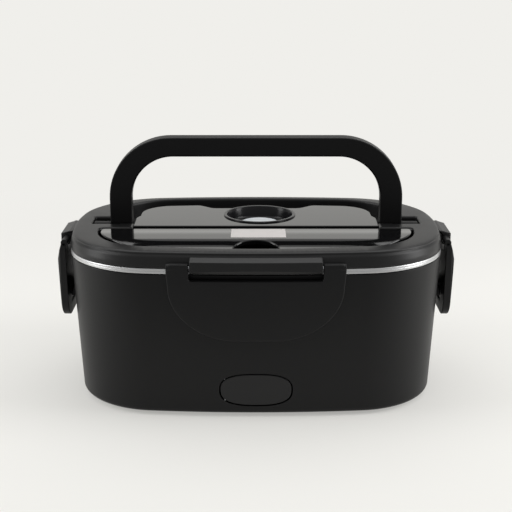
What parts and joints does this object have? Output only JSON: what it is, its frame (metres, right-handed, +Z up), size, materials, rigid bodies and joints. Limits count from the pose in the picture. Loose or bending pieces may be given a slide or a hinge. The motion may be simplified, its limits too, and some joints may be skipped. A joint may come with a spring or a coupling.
{
  "type": "electric lunch box",
  "caption": "Oval electric lunch box with a removable steel container, a latched lid with a cutlery compartment and a steam valve, and a carrying handle that folds into the lid.",
  "frame": {"origin": "centre of the footprint on the surface that the rubber feet stand on", "axes": "+Z up, +X to the right along the long side, -Y towards the side with the power sockets"},
  "size_m": [0.249, 0.164, 0.1602],
  "materials": {
    "housing": "satin moulded polypropylene with a fine grain",
    "bottom": "matte moulded plastic",
    "foot_rubber": "matte rubber",
    "screw_steel": "zinc plated",
    "liner": "satin moulded plastic",
    "plate": "machined",
    "ptc": "film-wrapped heater",
    "insulation": "glass-fibre pad",
    "clamp": "pressed steel",
    "thermostat": "moulded phenolic",
    "socket": "matte moulded plastic",
    "contact": "nickel plated",
    "pin_steel": "ground steel",
    "socket_cover": "satin silicone",
    "container_steel": "polished rim, satin inside",
    "lid": "satin moulded polypropylene",
    "gloss_black": "piano gloss",
    "inner_panel": "satin moulded plastic",
    "gasket": "translucent silicone",
    "well": "semi-gloss",
    "valve": "pale grey silicone",
    "handle": "satin moulded plastic",
    "latch": "satin moulded plastic"
  },
  "bodies": {
    "base": {"outer_housing": "housing", "bottom_cover": "bottom", "bottom_screws": "screw_steel", "inner_liner": "liner", "heating_plate": "plate", "ptc_heater_mains": "ptc", "ptc_heater_vehicle": "ptc", "insulation_pad": "insulation", "heater_clamp": "clamp", "clamp_screws": "screw_steel", "thermostat": "thermostat", "socket_carrier": "socket", "ac_inlet": "socket", "ac_pins": "contact", "dc_jack": "contact", "socket_pin": "pin_steel", "foot_1": "foot_rubber", "foot_2": "foot_rubber", "foot_3": "foot_rubber", "foot_4": "foot_rubber"},
    "socket_cover": {"socket_cover": "socket_cover"},
    "container": {"steel_container": "container_steel"},
    "lid": {"lid_shell": "lid", "island_panel": "gloss_black", "lid_inner_panel": "inner_panel", "lid_gasket": "gasket", "steam_well": "well", "handle_pin_left": "pin_steel", "handle_pin_right": "pin_steel", "hinge_pin_front": "pin_steel", "hinge_pin_rear": "pin_steel", "hinge_pin_left": "pin_steel", "hinge_pin_right": "pin_steel"},
    "steam_valve": {"steam_valve": "valve"},
    "cutlery_cover": {"cutlery_cover": "gloss_black"},
    "handle": {"handle": "handle"},
    "latch_front": {"latch_front": "latch"},
    "latch_rear": {"latch_rear": "latch"},
    "latch_left": {"latch_left": "latch"},
    "latch_right": {"latch_right": "latch"}
  },
  "joints": [
    {"name": "container_lift", "type": "slide", "parent": "base", "child": "container", "axis": [0, 0, 1], "range_m": [0, 0.09]},
    {"name": "lid_lift", "type": "slide", "parent": "container", "child": "lid", "axis": [0, 0, 1], "range_m": [0, 0.12]},
    {"name": "latch_front_hinge", "type": "hinge", "parent": "lid", "child": "latch_front", "pos_m": [0, -0.0779, 0.0966], "axis": [-1, 0, 0], "range_deg": [0, 100]},
    {"name": "latch_rear_hinge", "type": "hinge", "parent": "lid", "child": "latch_rear", "pos_m": [0, 0.0779, 0.0966], "axis": [1, 0, 0], "range_deg": [0, 100]},
    {"name": "latch_left_hinge", "type": "hinge", "parent": "lid", "child": "latch_left", "pos_m": [-0.1198, 0, 0.0972], "axis": [0, 1, 0], "range_deg": [0, 100]},
    {"name": "latch_right_hinge", "type": "hinge", "parent": "lid", "child": "latch_right", "pos_m": [0.1198, 0, 0.0972], "axis": [0, -1, 0], "range_deg": [0, 100]},
    {"name": "handle_fold", "type": "hinge", "parent": "lid", "child": "handle", "pos_m": [0, 0.0016, 0.1], "axis": [-1, 0, 0], "range_deg": [0, 90]},
    {"name": "cutlery_cover_hinge", "type": "hinge", "parent": "lid", "child": "cutlery_cover", "pos_m": [0, -0.0176, 0.1033], "axis": [-1, 0, 0], "range_deg": [0, 85]},
    {"name": "steam_valve_lift", "type": "slide", "parent": "lid", "child": "steam_valve", "axis": [0, 0, 1], "range_m": [0, 0.004]},
    {"name": "socket_cover_hinge", "type": "hinge", "parent": "base", "child": "socket_cover", "pos_m": [-0.0188, -0.07034, 0.018], "axis": [0, 0, -1], "range_deg": [0, 95]}
  ]
}
